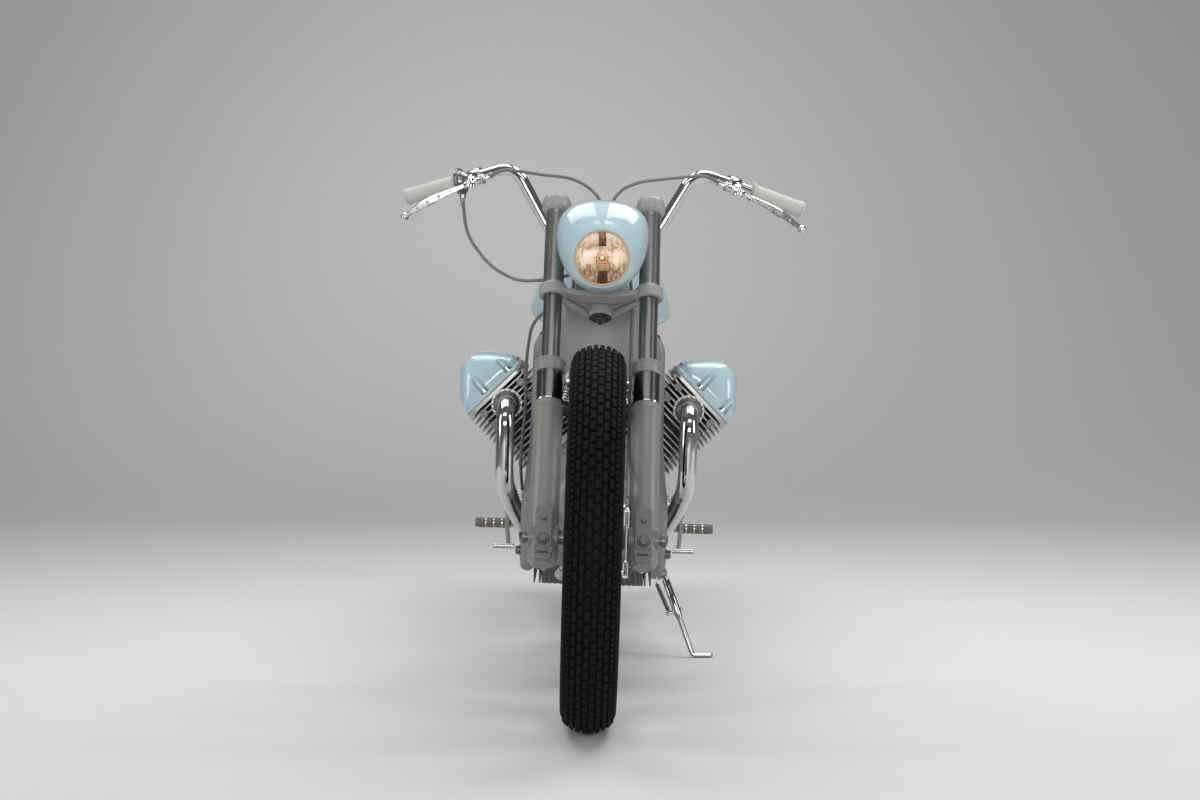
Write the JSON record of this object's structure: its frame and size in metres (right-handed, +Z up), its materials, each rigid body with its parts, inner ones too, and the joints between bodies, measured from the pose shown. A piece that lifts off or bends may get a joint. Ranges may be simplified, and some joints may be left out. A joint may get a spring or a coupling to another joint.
{
  "type": "custom v-twin motorcycle",
  "caption": "Custom motorcycle with a crosswise V-twin, egg-shaped headlight shell, knobbly tyres, low seat and a side stand it leans on.",
  "frame": {"origin": "centre of the bounding box on the ground", "axes": "+X to the motorcycle's left, -Y forward, +Z up; the motorcycle leans 1.8 degrees to its left"},
  "size_m": [0.7791, 2.207, 1.0124],
  "materials": {
    "blue_paint": "gloss",
    "grey_paint": "satin",
    "cast_alloy": "satin",
    "chrome": "polished",
    "shock_black": "satin",
    "tyre": "matte",
    "grip_rubber": "matte",
    "seat_leather": "satin",
    "lens_glass": "clear",
    "tail_red": "gloss",
    "cable_grey": "satin"
  },
  "bodies": {
    "chassis": {"steering_head": "grey_paint", "top_rails": "grey_paint", "pivot_plates": "grey_paint", "downtubes": "grey_paint", "lower_rails": "grey_paint", "neck_panel": "grey_paint", "tank": "blue_paint", "filler_cap": "chrome", "seat": "seat_leather", "rear_fender": "blue_paint", "tail_lamp": "tail_red", "battery_box": "grey_paint", "crankcase": "cast_alloy", "timing_cover": "cast_alloy", "sump": "cast_alloy", "gearbox": "cast_alloy", "cylinders": "cast_alloy", "cylinder_heads": "cast_alloy", "rocker_covers": "blue_paint", "carburettors": "cast_alloy", "exhausts": "chrome", "swingarm": "grey_paint", "final_drive": "cast_alloy", "rear_axle": "chrome", "shocks": "shock_black", "footpegs": "chrome", "foot_levers": "chrome", "engine_cables": "cable_grey"},
    "steering": {"lower_clamp": "grey_paint", "upper_clamp": "grey_paint", "stanchions": "chrome", "sliders": "grey_paint", "dust_covers": "grey_paint", "handlebar": "chrome", "grips": "grip_rubber", "throttle_drum": "chrome", "lever_perches": "chrome", "levers": "chrome", "nacelle": "blue_paint", "headlight": "chrome", "headlight_lens": "lens_glass", "front_axle": "chrome", "brake_plate": "chrome", "steering_cables": "cable_grey"},
    "front_wheel": {"front_tyre": "tyre", "front_rim": "chrome", "front_hub": "cast_alloy"},
    "rear_wheel": {"rear_tyre": "tyre", "rear_rim": "chrome", "rear_hub": "cast_alloy"},
    "side_stand": {"side_stand": "chrome"}
  },
  "joints": [
    {"name": "steering", "type": "hinge", "parent": "chassis", "child": "steering", "pos_m": [-0.00655, -0.47866, 0.73608], "axis": [0.0275, 0.4848, 0.8742], "range_deg": [-35, 35]},
    {"name": "front_wheel", "type": "hinge", "parent": "steering", "child": "front_wheel", "pos_m": [-0.01885, -0.7585, 0.34487], "axis": [0.9995, 0, -0.0314], "continuous": true},
    {"name": "rear_wheel", "type": "hinge", "parent": "chassis", "child": "rear_wheel", "pos_m": [-0.01932, 0.7415, 0.32987], "axis": [0.9995, 0, -0.0314], "continuous": true},
    {"name": "side_stand", "type": "hinge", "parent": "chassis", "child": "side_stand", "pos_m": [0.11578, 0.1135, 0.17155], "axis": [0.9259, 0, 0.3778], "range_deg": [0, 95]}
  ]
}
